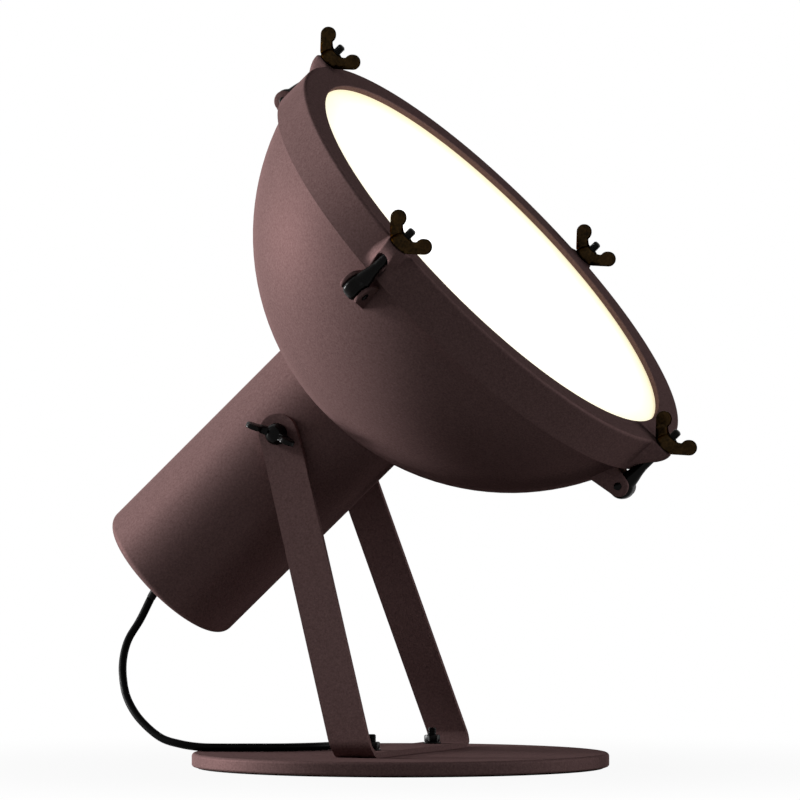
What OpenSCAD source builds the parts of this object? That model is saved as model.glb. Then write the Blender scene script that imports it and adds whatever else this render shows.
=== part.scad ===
// Projector floor lamp: a spherical spun head with a flat opal glass, clamped by wing nuts,
// that tilts in a bent strip yoke on a round base. Millimetres, +Z up, +X is the way it aims.

/* [Base] */
// Diameter of the round base
base_d = 297; // [260:1:340]
// Height of the base, pad included
base_h = 10.8; // [9:0.1:16]
// Thickness of the felt pad under the base
pad_t = 1; // [0.6:0.1:2]
// Radius of the softened top edge
base_edge = 2.4; // [1:0.1:4]

/* [Yoke] */
// Width of the yoke strip
arm_w = 29; // [24:0.5:34]
// Thickness of the yoke strip
yoke_t = 3.8; // [3:0.1:5]
// Distance between the mid planes of the two arms where they meet the base
foot_span = 194; // [180:1:210]
// Place of the yoke's foot along X
foot_x = 1.4; // [-10:0.1:20]
// Bend radius at the foot, to the middle of the strip
bend_r = 9; // [6:0.5:12]
// Straight length of the arm's end tab below the pivot
tab_len = 13; // [12:0.5:18]
// Distance between the two foot bolts
foot_bolt_span = 118; // [100:1:130]

/* [Pivot] */
// Place of the tilt axis along X
pivot_x = -68.7; // [-90:0.1:-50]
// Height of the tilt axis
pivot_z = 237.2; // [232:0.1:270]
// Angle of the head above the horizontal
tilt = 42.7; // [0:0.1:90]
// Diameter of the pivot studs
pivot_stud_d = 8; // [6:0.5:10]
// How far a pivot stud stands out of its arm
stud_out = 9; // [8:0.5:16]
// Diameter of the threaded bosses in the can
boss_d = 22; // [18:1:24]
// How far each boss stands out past the can's widest line
boss_proud = 0.6; // [0.4:0.1:1]
// Thickness of the friction washers
friction_t = 1; // [0.6:0.1:2]

/* [Head] */
// Outer diameter of the front ring and of the bowl's sphere
ring_d = 365; // [345:1:385]
// Diameter of the can behind the bowl
can_d = 115.6; // [108:0.1:122]
// Length of the can behind the tilt axis
can_rear = 151; // [135:1:165]
// Radius of the can's rear edge
can_edge = 6; // [3:0.5:10]
// Distance from the tilt axis to the bowl's seat on the can
neck = 34.4; // [32:0.1:45]
// Distance from the ring's front face to the centre of the bowl's sphere
rim_short = 17.5; // [10:0.5:25]
// Wall of the bowl and the can
sheet_t = 2; // [1.2:0.1:3]
// Width of the ring's outer band
band_w = 28.5; // [24:0.5:34]
// Wall of the ring's band
band_wall = 3; // [2:0.1:3.5]
// Width of the ring's front lip
lip_w = 20; // [14:0.5:26]
// Thickness of the ring's front lip
lip_t = 4; // [3:0.1:5]
// Thickness of the opal glass
glass_t = 5; // [4:0.5:6]
// Thickness of the gasket behind the glass
gasket_t = 3; // [2:0.5:4]
// Radius of the opening where bowl and can meet
neck_hole_r = 44; // [40:1:46]

/* [Ring clamps] */
// How far the eye bolts lie outside the ring's band
bolt_rise = 4.5; // [4:0.1:6]
// Diameter of an eye bolt's shank
shank_d = 7; // [6.5:0.1:7.4]
// Diameter of the threads that take wing nuts on the ring
thread_d = 6; // [5:0.5:6]
// How far a threaded bolt end stands out of its seat
thread_out = 15.5; // [13:0.5:18]
// Distance from the ring's front face back to the hinge pins
pin_back = 41.5; // [38:0.5:44]
// Diameter of the hinge pins
pin_d = 5; // [4:0.5:6]
// Radius of an ear's rounded end
ear_r = 8; // [7:0.1:8.5]
// Radius of an eye bolt's eye
eye_r = 9; // [8:0.1:10]
// Thickness of an ear
ear_t = 3.2; // [2.5:0.1:5]
// Width of an eye
eye_w = 9; // [7:0.5:10]
// Half width of a ring lug at its foot
lug_half_w = 12; // [10:0.5:14]
// Wall of a ring lug over its bolt hole
lug_wall = 3.6; // [3:0.1:5]
// Length of the lug's closed front wall
lug_front = 10.5; // [8:0.5:12]

/* [Wing nuts] */
// Distance of a wing's tip centre from the nut's axis
wing_reach = 13.8; // [12:0.1:17]
// Height of a wing's tip centre over the seat
wing_lift = 13.6; // [12:0.1:17]
// Radius of a wing's tip
wing_tip_r = 5.5; // [4:0.1:6]
// Radius of a wing where it leaves the boss
wing_foot_r = 4.4; // [3.5:0.1:5]
// Thickness of a wing
wing_t = 3.4; // [2.5:0.1:4]
// Diameter of the nut's boss on its seat
nut_boss_d = 15; // [13:0.5:16]
// Height of the nut's boss
nut_boss_h = 9.5; // [8:0.5:11]

/* [Light source] */
// Outer diameter of the lampholder
holder_d = 40; // [36:1:46]
// Length of the lampholder
holder_l = 46; // [42:1:50]
// Greatest diameter of the bulb
bulb_d = 60; // [55:1:70]
// Length of the bulb's glass
bulb_l = 80; // [75:1:84]
// Diameter of the bulb's cap
bulb_cap_d = 26; // [26:0.5:27]

/* [Cord] */
// Diameter of the mains cord
cord_d = 5.8; // [5.6:0.1:6]
// Length of the tapered strain relief outside the can
boot_l = 18; // [15:1:22]
// Length of the plug's body
plug_l = 30; // [26:1:34]
// Width of the plug's body
plug_w = 21; // [18:1:24]
// Height of the plug's body
plug_h = 13; // [12:0.5:14]

/* [Clearances] */
// Radial clearance of turning and threaded fits
run_gap = 0.05; // [0.03:0.01:0.08]
// Clearance of loose fits, such as the glass in its ring
loose_gap = 1; // [0.5:0.1:1.5]
// Clearance of bolts in plain holes
hole_gap = 0.3; // [0.2:0.05:0.5]
// Seam between pieces that are welded or glued on curved faces
seam = 0.05; // [0.03:0.01:0.1]

/* [Hidden] */
$fn = 96;

paint = "#5a4646";
black = "#151414";
steel = "#8f8f92";
brass = "#a98a4a";
overlap = 1;
pivot_wing_turn = 22.5;

// Base and yoke
foot_bolt_d = 6;
foot_bolt_up = 11.5;
foot_nut_flats = 10;
foot_nut_h = 5;
foot_washer_d = 12.5;
foot_washer_t = 1.2;
foot_head_d = 11;
foot_head_h = 3.5;
pad_inset = 4;
lean = atan2(foot_x - pivot_x, pivot_z - base_h - yoke_t);
foot_half_w = arm_w / 2 / cos(lean);
can_r = can_d / 2;
boss_face = can_r + boss_proud;
arm_in = boss_face + friction_t;
arm_out = arm_in + yoke_t;

// Head, measured along its axis from the tilt axis
ring_r = ring_d / 2;
bowl_r = ring_r;
bowl_c = neck + sqrt(pow(bowl_r, 2) - pow(can_r, 2));
front = bowl_c - rim_short;
band_rear = front - band_w;
band_in = ring_r - band_wall;
opening_r = ring_r - lip_w;
glass_front = front - lip_t;
glass_rear = glass_front - glass_t;
rim_face = glass_rear - gasket_t;
collar_r = sqrt(pow(bowl_r, 2) - pow(bowl_c - band_rear, 2));
rim_in = opening_r - 3;
glass_r = band_in - loose_gap;
plate_t = 1.5;
plate_r = can_r - sheet_t - loose_gap;
plate_face = neck + sheet_t + plate_t;
screw_d = 4;
screw_r = (neck_hole_r + can_r - sheet_t) / 2;
screw_head_d = 7;
screw_head_h = 2.4;
screw_nut_flats = 7;
screw_nut_h = 3.2;

// Ring clamps
bolt_r = ring_r + bolt_rise;
lug_r = shank_d / 2 + hole_gap + lug_wall;
lug_slope = 14;
slot_w = shank_d + 2 * loose_gap;
slot_floor = ring_r + 0.4;
pin_s = front - pin_back;
ear_gap = eye_w + 2 * hole_gap;
ear_foot = 18;
ear_flare = 5;

// Light source
socket_d = bulb_cap_d + 2 * hole_gap;
cap_l = 25;
cap_back = plate_face + 16;
cap_front = cap_back + cap_l;
bulb_neck_r = bulb_cap_d / 2 - 1;

// Cord and what is on it
gland_neck_r = 6;
gland_flange_r = 9;
gland_flange_t = 3;
gland_nut_flats = 17;
gland_nut_h = 5;
boot_tip_r = 4.2;
boot_bend = 16;
blade_w = 6.3;
blade_t = 1.5;
blade_l = 17;
blade_gap = 12.7;
coil_pitch = cord_d + 0.55;
coil_in_r = 17;
coil_turns = 5.8;
coil_rings = 24;
tie_w = 12;
tie_t = 0.4;
tie_room = 1.3;
coil_turned = 21.3;
coil_at = [-123, 167];
coil_z = tie_t + 0.1 + cord_d / 2;
cord_sides = 8;
coil_sides = 6;
frame_hint = [-0.3, 0.5, 0.8];

// The cord from the strain relief to the back edge of the base
drop_points = [
    [-200.5, -3, 103], [-207.5, -8, 89], [-209, -14, 75], [-206, -21, 61], [-199.5, -28, 47],
    [-187, -35, 33], [-168.5, -41, 20.5], [-151.5, -44, 16], [-136.5, -43, 14.1]];
base_points = [
    [-123, -38.5, 13.8], [-103, -30.5, 13.8], [-84, -22, 13.8], [-72.5, -11, 13.8],
    [-63, 3.5, 13.8], [-59, 22, 13.8], [-60, 41, 13.8], [-64, 59, 13.8], [-71, 80, 13.8],
    [-78, 98, 13.8], [-85.5, 117, 13.8]];
head_axis = [cos(tilt), 0, sin(tilt)];
head_up = [-sin(tilt), 0, cos(tilt)];
function head_dir(p) = p[0] * head_axis + [0, p[1], 0] + p[2] * head_up;
boot_end = [pivot_x, 0, pivot_z] + head_dir(boot_at(1));
boot_way = head_dir(boot_along(1));
route = concat([boot_end], drop_points, base_points);
drop_last = len(drop_points);
route_last = len(route) - 1;

function arc(c, r, a0, a1, n) =
    [for (i = [0:n]) c + r * [cos(a0 + (a1 - a0) * i / n), sin(a0 + (a1 - a0) * i / n)]];
function unit(v) = v / norm(v);
function smooth(t) = t <= 0 ? 0 : t >= 1 ? 1 : t * t * (3 - 2 * t);
function lerp(a, b, t) = a + (b - a) * t;

// Direction of a path at one of its points
function along(p, i) = unit(p[min(i + 1, len(p) - 1)] - p[max(i - 1, 0)]);
function ring_at(c, dir, r, sides, hint) =
    let (u = unit(cross(dir, hint)), v = cross(u, dir))
    [for (k = [0:sides - 1]) c + r * (cos(360 * k / sides) * u + sin(360 * k / sides) * v)];

// A closed tube with one ring at each listed centre; dirs and radii go with the centres
module tube(centres, dirs, radii, sides, hint) {
    n = len(centres);
    points = [for (i = [0:n - 1]) each ring_at(centres[i], dirs[i], radii[i], sides, hint)];
    walls = [for (i = [0:n - 2], k = [0:sides - 1])
        let (a = i * sides + k, b = i * sides + (k + 1) % sides)
        each [[a, b, a + sides], [b, b + sides, a + sides]]];
    last = (n - 1) * sides;
    caps = [for (k = [1:sides - 2]) each [[0, k + 1, k], [last, last + k, last + k + 1]]];
    polyhedron(points, concat(walls, caps));
}

module stretch(from, to) {
    centres = [for (i = [from:to]) route[i]];
    dirs = [for (i = [from:to]) i == 0 ? boot_way : along(route, i)];
    tube(centres, dirs, [for (c = centres) cord_d / 2], cord_sides, frame_hint);
}

// The head's own frame: +X is the optical axis, the tilt axis is Y
module head() {
    translate([pivot_x, 0, pivot_z]) rotate([0, -tilt, 0]) children();
}

// Turns a profile of radius and place along the axis into a body of revolution about X
module revolve() {
    rotate([0, 90, 0]) rotate_extrude() children();
}

// A body along X with the given radius, from one place to another
module rod(r, from, to) {
    translate([from, 0, 0]) rotate([0, 90, 0]) cylinder(r = r, h = to - from);
}

// The four clamp stations: top, near side, bottom and far side
module station(k) {
    rotate([90 * k, 0, 0]) children();
}

module base_disc() {
    z0 = pad_t;
    outline = concat([[0, z0], [base_d / 2 - 1, z0], [base_d / 2, z0 + 1]],
        arc([base_d / 2 - base_edge, base_h - base_edge], base_edge, 0, 90, 6), [[0, base_h]]);
    color(paint) difference() {
        rotate_extrude($fn = 180) polygon(outline);
        foot_bolt_places() {
            translate([0, 0, -overlap])
                cylinder(d = foot_bolt_d + 2 * hole_gap, h = base_h + 2 * overlap);
            translate([0, 0, -overlap])
                cylinder(d = foot_head_d + 2 * hole_gap, h = overlap + pad_t + foot_head_h);
        }
    }
}

module foot_bolt_places() {
    for (side = [-1, 1]) translate([foot_x, side * foot_bolt_span / 2, 0]) children();
}

module base_pad() {
    color("#1c1a1a") difference() {
        cylinder(d = base_d - 2 * pad_inset, h = pad_t, $fn = 180);
        foot_bolt_places() translate([0, 0, -overlap])
            cylinder(d = foot_head_d + 2 * hole_gap, h = pad_t + 2 * overlap);
    }
}

// Middle line of the yoke's strip, seen along X: down one arm, along the foot and up the other
function strip_line() =
    let (z0 = base_h + yoke_t / 2, top = [arm_in + yoke_t / 2, pivot_z + arm_w],
        knee = [top[0], pivot_z - tab_len], foot = [foot_span / 2, z0],
        splay = atan2(foot[0] - knee[0], knee[1] - foot[1]),
        cut = bend_r * tan(45 + splay / 2),
        c = [foot[0] - cut, z0 + bend_r],
        half = concat(arc(c, bend_r, -90, splay, 10), [knee, top]))
    concat([for (p = reversed(half)) [-p[0], p[1]]], half);

function strip_side(p, off) =
    [for (i = [0:len(p) - 1])
        let (a = i > 0 ? unit(p[i] - p[i - 1]) : unit(p[1] - p[0]),
            b = i < len(p) - 1 ? unit(p[i + 1] - p[i]) : a,
            m = unit(a + b), n = [m[1], -m[0]])
        p[i] + n * off / (m * a)];

function reversed(p) = [for (i = [len(p) - 1:-1:0]) p[i]];

module yoke() {
    line = strip_line();
    outer = strip_side(line, yoke_t / 2);
    inner = strip_side(line, -yoke_t / 2);
    floor_z = base_h + yoke_t;
    d = [sin(lean), -cos(lean)];
    w = [cos(lean), sin(lean)] * arm_w / 2;
    p = [pivot_x, pivot_z];
    color(paint) difference() {
        intersection() {
            rotate([90, 0, 90]) linear_extrude(height = 4 * can_d, center = true)
                polygon(concat(outer, reversed(inner)));
            rotate([90, 0, 0]) linear_extrude(height = 2 * foot_span, center = true) {
                polygon([p + w, p - w, [foot_x - foot_half_w, floor_z],
                    [foot_x - foot_half_w, base_h], [foot_x + foot_half_w, base_h],
                    [foot_x + foot_half_w, floor_z]]);
                translate(p) circle(r = arm_w / 2);
            }
        }
        translate([pivot_x, 0, pivot_z]) rotate([90, 0, 0])
            cylinder(r = pivot_stud_d / 2 + run_gap, h = 2 * foot_span, center = true);
        foot_bolt_places()
            cylinder(d = foot_bolt_d + 2 * hole_gap, h = floor_z + overlap);
    }
}

module yoke_bolts() {
    top = base_h + yoke_t + foot_bolt_up;
    tip = 1;
    color(black) foot_bolt_places() {
        translate([0, 0, pad_t]) cylinder(d = foot_head_d, h = foot_head_h, $fn = 6);
        translate([0, 0, pad_t]) cylinder(d = foot_bolt_d, h = top - tip - pad_t);
        translate([0, 0, top - tip]) cylinder(d1 = foot_bolt_d, d2 = foot_bolt_d - 2 * tip, h = tip);
    }
}

module yoke_washers() {
    color(black) foot_bolt_places() translate([0, 0, base_h + yoke_t]) difference() {
        cylinder(d = foot_washer_d, h = foot_washer_t);
        translate([0, 0, -overlap])
            cylinder(d = foot_bolt_d + 2 * hole_gap, h = foot_washer_t + 2 * overlap);
    }
}

module yoke_nuts() {
    color(black) foot_bolt_places() translate([0, 0, base_h + yoke_t + foot_washer_t])
        hex_nut(foot_nut_flats, foot_nut_h, foot_bolt_d);
}

// A plain hexagon nut on Z, threaded for the given diameter
module hex_nut(flats, h, d) {
    difference() {
        cylinder(r = flats / sqrt(3), h = h, $fn = 6);
        translate([0, 0, -overlap]) cylinder(r = d / 2 + run_gap, h = h + 2 * overlap);
    }
}

module rear_housing() {
    rear = -can_rear;
    r = can_r;
    outline = concat([[0, rear]], arc([r - can_edge, rear + can_edge], can_edge, -90, 0, 8),
        [[r, neck], [neck_hole_r, neck], [neck_hole_r, neck - sheet_t],
        [r - sheet_t, neck - sheet_t], [r - sheet_t, rear + can_edge]],
        arc([r - can_edge, rear + can_edge], can_edge - sheet_t, 0, -90, 6), [[0, rear + sheet_t]]);
    color(paint) head() difference() {
        revolve() polygon(outline);
        rod(gland_neck_r + run_gap, rear - overlap, rear + sheet_t + overlap);
        rotate([90, 0, 0]) cylinder(r = boss_d / 2 + run_gap, h = 3 * can_r, center = true);
        screw_places() rod(screw_d / 2 + hole_gap, neck - sheet_t - overlap, neck + overlap);
    }
}

module screw_places() {
    for (k = [0:2]) rotate([120 * k, 0, 0]) translate([0, 0, screw_r]) children();
}

module bowl() {
    color(paint) head() difference() {
        revolve() {
            intersection() {
                difference() {
                    translate([0, bowl_c]) circle(r = bowl_r, $fn = 240);
                    translate([0, bowl_c]) circle(r = bowl_r - sheet_t, $fn = 240);
                }
                translate([neck_hole_r, neck]) square([bowl_r, band_rear - neck]);
            }
            translate([neck_hole_r, neck]) square([can_r - neck_hole_r, sheet_t]);
            translate([collar_r - sheet_t, band_rear]) square([sheet_t, rim_face - band_rear]);
            translate([rim_in, rim_face - sheet_t]) square([collar_r - rim_in, sheet_t]);
        }
        screw_places() rod(screw_d / 2 + hole_gap, neck - overlap, neck + sheet_t + overlap);
    }
}

// Section of a ring lug across the bolt, seen along the axis
module lug_section() {
    slope_in = lug_r * cos(lug_slope);
    slope_up = lug_r * sin(lug_slope);
    translate([0, bolt_r]) circle(r = lug_r);
    polygon([[-lug_half_w, ring_r - band_wall / 2], [lug_half_w, ring_r - band_wall / 2],
        [slope_in, bolt_r + slope_up], [-slope_in, bolt_r + slope_up]]);
}

module front_ring() {
    edge = 1.6;
    outline = concat([[band_in, band_rear], [ring_r, band_rear]],
        arc([ring_r - edge, front - edge], edge, 0, 90, 4),
        [[opening_r + edge, front], [opening_r, front - edge], [opening_r, glass_front],
        [band_in, glass_front]]);
    ramp = bolt_rise + lug_r;
    color(paint) head() difference() {
        union() {
            revolve($fn = 180) polygon(outline);
            for (k = [0:3]) station(k) intersection() {
                rotate([90, 0, 90]) translate([0, 0, band_rear]) linear_extrude(height = band_w)
                    lug_section();
                rotate([90, 0, 0]) linear_extrude(height = 4 * lug_half_w, center = true)
                    polygon([[band_rear, ring_r - band_wall], [front, ring_r - band_wall],
                        [front, ring_r + ramp], [front - lug_front + 1, ring_r + ramp],
                        [band_rear + 2, ring_r + bolt_rise - 1], [band_rear, ring_r]]);
            }
        }
        for (k = [0:3]) station(k) {
            translate([0, 0, bolt_r]) rod(shank_d / 2 + hole_gap, band_rear, front + overlap);
            slot_end = front - lug_front - slot_w / 2;
            translate([0, 0, slot_floor]) {
                translate([slot_end, 0, 0]) cylinder(d = slot_w, h = 2 * lug_r);
                translate([band_rear - overlap, -slot_w / 2, 0])
                    cube([slot_end - band_rear + overlap, slot_w, 2 * lug_r]);
            }
        }
    }
}

module diffuser_glass() {
    edge = 0.8;
    color("#fbf8f0") head() revolve($fn = 180) polygon([[0, glass_rear], [glass_r, glass_rear],
        [glass_r, glass_front - edge], [glass_r - edge, glass_front], [0, glass_front]]);
}

module glass_gasket() {
    color("#3a3838") head() revolve() translate([rim_in, rim_face])
        square([collar_r - rim_in, gasket_t]);
}

module pivot_sides() {
    for (side = [0, 1]) mirror([0, side, 0]) rotate([90, 0, 0]) children();
}

module pivot_bosses() {
    boss_in = can_r - 9;
    color(steel) head() pivot_sides() translate([0, 0, boss_in]) difference() {
        cylinder(d = boss_d, h = boss_face - boss_in);
        translate([0, 0, -overlap])
            cylinder(r = pivot_stud_d / 2 + run_gap, h = boss_face - boss_in + 2 * overlap);
    }
}

module pivot_studs() {
    stud_in = can_r - 9;
    tip = 1;
    color(black) head() pivot_sides() {
        translate([0, 0, stud_in]) cylinder(d = pivot_stud_d, h = arm_out + stud_out - tip - stud_in);
        translate([0, 0, arm_out + stud_out - tip])
            cylinder(d1 = pivot_stud_d, d2 = pivot_stud_d - 2 * tip, h = tip);
    }
}

module friction_washers() {
    color("#2a2a2a") head() pivot_sides() translate([0, 0, boss_face]) difference() {
        cylinder(d = boss_d, h = friction_t);
        translate([0, 0, -overlap]) cylinder(r = pivot_stud_d / 2 + run_gap, h = friction_t + 2 * overlap);
    }
}

module mount_plate() {
    color(steel) head() difference() {
        rod(plate_r, neck + sheet_t, plate_face);
        screw_places() rod(screw_d / 2 + hole_gap, neck, plate_face + overlap);
    }
}

module housing_screws() {
    color(steel) head() screw_places() {
        rod(screw_head_d / 2, plate_face, plate_face + screw_head_h);
        rod(screw_d / 2, neck - sheet_t - screw_nut_h - 1, plate_face + screw_head_h / 2);
    }
}

module housing_nuts() {
    color(steel) head() screw_places() translate([neck - sheet_t - screw_nut_h, 0, 0])
        rotate([0, 90, 0]) hex_nut(screw_nut_flats, screw_nut_h, screw_d);
}

module lampholder() {
    color("#e9e4d8") head() difference() {
        rod(holder_d / 2, plate_face, plate_face + holder_l);
        rod(socket_d / 2, cap_back - 4, plate_face + holder_l + overlap);
    }
}

module holder_contact() {
    color(brass) head() rod(5, cap_back - 4, cap_back);
}

module bulb_cap() {
    tip = 4;
    color(brass) head() revolve() polygon([[0, cap_back], [5, cap_back], [bulb_cap_d / 2, cap_back + tip],
        [bulb_cap_d / 2, cap_front], [0, cap_front]]);
}

module bulb_glass() {
    r = bulb_d / 2;
    globe = cap_front + bulb_l - r;
    flank = 35;
    color("#f6f2e6") head() revolve() polygon(concat([[0, cap_front], [bulb_neck_r, cap_front],
        [bulb_neck_r, cap_front + 6]], arc([0, globe], r, -flank, 89.9, 20), [[0, globe + r]]));
}

module terminal_block() {
    block = [18, 36, 20];
    color("#e6e2d6") head() translate([neck + sheet_t - block[0], -block[1] / 2, -block[2] / 2])
        cube(block);
}

module inner_lead() {
    color(black) head() rod(cord_d / 2, -can_rear + sheet_t + gland_nut_h, neck + sheet_t - 18);
}

// Points along the strain relief in the head's frame, drooping as it leaves the can
function boot_along(t) = [-cos(boot_bend * t), 0, -sin(boot_bend * t)];
function boot_at(t) =
    let (r = boot_l / (boot_bend * PI / 180))
    [-can_rear - gland_flange_t - r * sin(boot_bend * t), 0, -r * (1 - cos(boot_bend * t))];

module cord_gland() {
    steps = 6;
    rear = -can_rear;
    color(black) head() {
        rod(gland_neck_r, rear - overlap, rear + sheet_t + gland_nut_h);
        rod(gland_flange_r, rear - gland_flange_t, rear);
        tube([for (i = [0:steps]) boot_at(i / steps)],
            [for (i = [0:steps]) boot_along(i / steps)],
            [for (i = [0:steps]) lerp(gland_flange_r - 1.2, boot_tip_r, i / steps)], 12, [0, 1, 0]);
    }
}

module gland_nut() {
    color(black) head() translate([-can_rear + sheet_t, 0, 0]) rotate([0, 90, 0])
        hex_nut(gland_nut_flats, gland_nut_h, 2 * gland_neck_r);
}

module ear_outline() {
    translate([pin_s, bolt_r]) circle(r = ear_r);
    polygon([[pin_s - ear_r - ear_flare, bolt_r - ear_foot], [pin_s + ear_r, bolt_r - ear_foot],
        [pin_s + ear_r, bolt_r], [pin_s - ear_r, bolt_r]]);
}

module hinge_ears() {
    color(paint) head() for (k = [0:3], side = [-1, 1]) station(k) difference() {
        translate([0, side * (ear_gap + ear_t) / 2, 0]) rotate([90, 0, 0])
            linear_extrude(height = ear_t, center = true) ear_outline();
        translate([bowl_c, 0, 0]) sphere(r = bowl_r + seam, $fn = 240);
        translate([pin_s, 0, bolt_r]) rotate([90, 0, 0])
            cylinder(r = pin_d / 2 + run_gap, h = 8 * ear_t, center = true);
    }
}

module hinge_pins() {
    pin_l = ear_gap + 2 * ear_t - 1;
    color(black) head() for (k = [0:3]) station(k) translate([pin_s, 0, bolt_r])
        rotate([90, 0, 0]) cylinder(d = pin_d, h = pin_l, center = true);
}

module eye_bolts() {
    tip = 1;
    color(black) head() for (k = [0:3]) station(k) translate([0, 0, bolt_r]) difference() {
        union() {
            translate([pin_s, 0, 0]) rotate([90, 0, 0]) cylinder(r = eye_r, h = eye_w, center = true);
            rod(shank_d / 2, pin_s, front - tip);
            rod(thread_d / 2, front - 2 * tip, front + thread_out - tip);
            translate([front + thread_out - tip, 0, 0]) rotate([0, 90, 0])
                cylinder(d1 = thread_d, d2 = thread_d - 2 * tip, h = tip);
        }
        translate([pin_s, 0, 0]) rotate([90, 0, 0])
            cylinder(r = pin_d / 2 + run_gap, h = 2 * eye_w, center = true);
    }
}

// A wing nut that stands on z = 0 with its wings along X
module wing_nut(thread) {
    foot = [4, wing_foot_r + 1];
    tip = [wing_reach, wing_lift];
    n = unit([tip[1] - foot[1], foot[0] - tip[0]]);
    crown = nut_boss_d / 2 - 1.6;
    difference() {
        union() {
            rotate_extrude() polygon(concat([[0, 0], [nut_boss_d / 2, 0], [nut_boss_d / 2, 2]],
                arc([crown - 2, nut_boss_h - 2], 2, 0, 90, 4), [[0, nut_boss_h]]));
            for (side = [0, 1]) mirror([side, 0, 0]) rotate([90, 0, 0])
                linear_extrude(height = wing_t, center = true) {
                    translate(foot) circle(r = wing_foot_r);
                    translate(tip) circle(r = wing_tip_r);
                    polygon([foot + n * wing_foot_r, tip + n * wing_tip_r,
                        tip - n * wing_tip_r, foot - n * wing_foot_r]);
                }
        }
        translate([0, 0, -overlap]) cylinder(r = thread / 2 + run_gap, h = wing_lift + 4 * wing_tip_r);
    }
}

module ring_wing_nut(y, z) {
    color(black) head() translate([front, y, z]) rotate([0, 90, 0]) wing_nut(thread_d);
}

module wing_nut_top() {
    ring_wing_nut(0, bolt_r);
}

module wing_nut_near() {
    ring_wing_nut(-bolt_r, 0);
}

module wing_nut_bottom() {
    ring_wing_nut(0, -bolt_r);
}

module wing_nut_far() {
    ring_wing_nut(bolt_r, 0);
}

module pivot_wing_nut(side) {
    color(black) translate([pivot_x, 0, pivot_z]) mirror([0, side, 0]) translate([0, -arm_out, 0])
        rotate([90, pivot_wing_turn, 0]) wing_nut(pivot_stud_d);
}

module pivot_wing_nut_near() {
    pivot_wing_nut(0);
}

module pivot_wing_nut_far() {
    pivot_wing_nut(1);
}

module cord_drop() {
    color(black) stretch(0, drop_last);
}

module cord_on_base() {
    color(black) stretch(drop_last, route_last);
}

// The put-away length in the coil's own frame, +X to the right and +Y away from the base:
// over the base's back edge and the turns, down into the eye, round and out, then to the plug
over_z = coil_z + cord_d + 0.8;
sink_y = -14;
sink_l = 46;
tail_l = 58;
tail_r = 30;
tail_rings = 8;
stub_l = 8;
plug_z = plug_h / 2;
function turn(p, a) = [p[0] * cos(a) - p[1] * sin(a), p[0] * sin(a) + p[1] * cos(a)];
function coil_local(p) = concat(turn([p[0], p[1]] - coil_at, -coil_turned), p[2]);
function coil_world(p) = concat(turn([p[0], p[1]], coil_turned) + coil_at, p[2]);
function sink(l) = lerp(over_z, coil_z, smooth(l / sink_l));
coil_from = coil_local(route[route_last]);
entry = [coil_from, coil_from + [0, cord_d, -0.3],
    for (y = [-50:9:-23]) [coil_in_r, y, over_z], [coil_in_r, sink_y, over_z],
    [coil_in_r, sink_y / 2, sink(-sink_y / 2)]];
spiral = [for (i = [0:coil_rings * coil_turns])
    let (t = i / coil_rings, r = coil_in_r + coil_pitch * t)
    concat(turn([r, 0], 360 * t), sink(2 * PI * coil_in_r * t - sink_y))];
tail_way = 360 * coil_turns + 90;
tail_from = turn([coil_in_r + coil_pitch * coil_turns, 0], tail_way - 90);
tail_c = tail_from + turn([tail_l, tail_r], tail_way);
tail = [for (l = [tail_l / 4:tail_l / 4:tail_l - 1])
    concat(tail_from + turn([l, 0], tail_way), coil_z)];
tail_swing = 450 + 360 * floor(coil_turns) - tail_way;
bend = [for (i = [0:tail_rings])
    let (t = i / tail_rings)
    concat(tail_c + turn([0, -tail_r], tail_way + tail_swing * t), lerp(coil_z, plug_z, smooth(t)))];
plug_at = tail_c + [tail_r, stub_l];
coil_path = [for (p = concat(entry, spiral, tail, bend, [concat(plug_at, plug_z)])) coil_world(p)];
coil_last = len(coil_path) - 1;
function length_to(p, n) = n <= 0 ? 0 : norm(p[n] - p[n - 1]) + length_to(p, n - 1);
coil_gap = min([for (i = [0:coil_last], j = [i + 8:1:coil_last])
    norm(coil_path[i] - coil_path[j])]) - cord_d;
echo(coil_least_gap = coil_gap, coil_length = length_to(coil_path, coil_last),
    route_length = length_to(route, route_last));

module cord_coil() {
    dirs = [for (i = [0:coil_last]) i == 0 ? along(route, route_last) : along(coil_path, i)];
    color(black) tube(coil_path, dirs, [for (p = coil_path) cord_d / 2], coil_sides, [0, 0, 1]);
}

module coil_frame() {
    translate([coil_at[0], coil_at[1], 0]) rotate([0, 0, coil_turned]) children();
}

module coil_tie() {
    from = coil_in_r + coil_pitch / 2 - cord_d / 2 - tie_room;
    to = coil_in_r + coil_pitch * (floor(coil_turns) + 0.5) + cord_d / 2 + tie_room;
    inside_h = cord_d + 0.4;
    color("#222020") coil_frame() rotate([90, 0, 0]) linear_extrude(height = tie_w, center = true)
        difference() {
            translate([-to - tie_t, 0]) square([to - from + 2 * tie_t, inside_h + 2 * tie_t]);
            translate([-to, tie_t]) square([to - from, inside_h]);
        }
}

module plug_frame() {
    coil_frame() translate([plug_at[0], plug_at[1], plug_z]) rotate([-90, 0, 0]) children();
}

module plug_body() {
    nose = 0.75;
    w = plug_w / 2;
    h = plug_h / 2;
    color(black) plug_frame() difference() {
        intersection() {
            linear_extrude(height = plug_l) square([plug_w, plug_h], center = true);
            rotate([90, 0, 0]) linear_extrude(height = plug_h, center = true)
                polygon([[-w * nose, 0], [w * nose, 0], [w, plug_l * 0.6], [w, plug_l],
                    [-w, plug_l], [-w, plug_l * 0.6]]);
        }
        blade_places() translate([-blade_t / 2, -blade_w / 2, plug_l - 8])
            cube([blade_t, blade_w, 8 + overlap]);
    }
}

module blade_places() {
    for (side = [-1, 1]) translate([side * blade_gap / 2, 0, 0]) children();
}

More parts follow.
